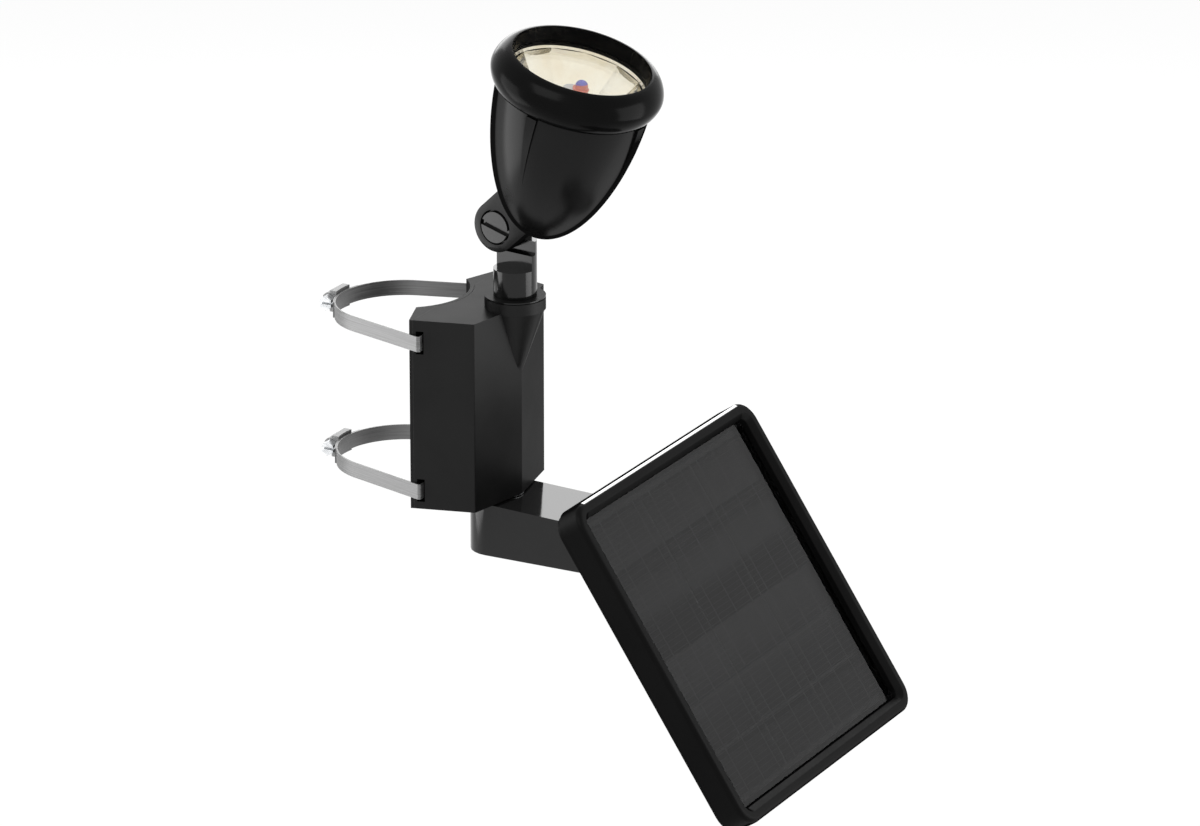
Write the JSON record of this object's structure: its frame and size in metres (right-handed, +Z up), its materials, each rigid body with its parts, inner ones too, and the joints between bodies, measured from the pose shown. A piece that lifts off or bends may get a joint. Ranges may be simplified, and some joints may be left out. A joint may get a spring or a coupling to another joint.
{
  "type": "solar flagpole light",
  "caption": "Solar light that straps to a flagpole: battery housing, aimable lamp head with a bell shade above it, and a tilting solar panel on a swivelling arm below.",
  "frame": {"origin": "on the pole's axis at the middle of the housing's height", "axes": "+Z up along the pole, -Y from the pole out to the housing, arm and panel, +X to the right of someone who faces the pole from the panel's side, the side of the switch"},
  "size_m": [0.2116, 0.3224, 0.4088],
  "materials": {
    "moulded": "fine satin",
    "moulded_inner": "satin",
    "bezel_gloss": "semi-gloss",
    "seal_rubber": "matte",
    "band_steel": "satin",
    "zinc_steel": "zinc plated",
    "black_steel": "satin",
    "cell_jacket": "satin",
    "cream": "bright",
    "clear": "clear",
    "panel_glass": "clear",
    "silicon": "satin",
    "board": "lacquered",
    "white_board": "satin",
    "sink": "satin",
    "emitter": "gloss"
  },
  "bodies": {
    "housing": {"housing_shell": "moulded", "back_cover": "moulded", "housing_gasket": "seal_rubber", "cover_screws": "zinc_steel", "upper_band": "band_steel", "lower_band": "band_steel", "upper_buckle": "band_steel", "lower_buckle": "band_steel", "band_screws": "zinc_steel", "circuit_board": "board", "board_screws": "zinc_steel", "battery_holder": "moulded_inner", "battery_cells": "cell_jacket", "battery_contacts": "zinc_steel", "switch_body": "moulded_inner", "switch_nut": "zinc_steel", "post_bushing": "moulded_inner", "arm_bolt": "zinc_steel", "arm_nut": "zinc_steel", "arm_washers": "zinc_steel"},
    "button": {"switch_button": "moulded_inner"},
    "lamp_post": {"swivel_post": "moulded", "post_seal": "seal_rubber", "post_clip": "zinc_steel", "tilt_screw": "black_steel", "tilt_washer": "zinc_steel", "tilt_nut": "zinc_steel"},
    "lamp_head": {"head_shell": "moulded", "bezel_ring": "bezel_gloss", "lens": "clear", "lens_gasket": "seal_rubber", "reflector": "cream", "heat_sink": "sink", "led_board": "white_board", "led_emitter": "emitter", "led_screws": "zinc_steel"},
    "arm": {"panel_arm": "moulded", "arm_cover": "moulded", "arm_cover_screws": "zinc_steel"},
    "solar_panel": {"panel_frame": "moulded", "panel_glass": "panel_glass", "solar_cells": "silicon", "cell_board": "board", "panel_gasket": "seal_rubber", "panel_back": "moulded", "panel_screws": "zinc_steel", "hinge_bolt": "zinc_steel", "hinge_nut": "zinc_steel", "hinge_washers": "zinc_steel"}
  },
  "joints": [
    {"name": "head_swivel", "type": "hinge", "parent": "housing", "child": "lamp_post", "pos_m": [0, -0.0723, 0.06225], "axis": [0, 0, 1], "range_deg": [-71.8, 88.2]},
    {"name": "head_tilt", "type": "hinge", "parent": "lamp_post", "child": "lamp_head", "pos_m": [0.0012, -0.06399, 0.10175], "axis": [0.9898, -0.1426, 0], "range_deg": [-15, 15]},
    {"name": "arm_swivel", "type": "hinge", "parent": "housing", "child": "arm", "pos_m": [0, -0.065, -0.05625], "axis": [0, 0, 1], "range_deg": [-50, 50]},
    {"name": "panel_tilt", "type": "hinge", "parent": "arm", "child": "solar_panel", "pos_m": [0, -0.163, -0.07105], "axis": [1, 0, 0], "range_deg": [-35, 30]},
    {"name": "switch_press", "type": "slide", "parent": "housing", "child": "button", "axis": [0, 0, 1], "range_m": [0, 0.002], "stiffness_N_per_m": 500, "springref_m": -0.002}
  ]
}
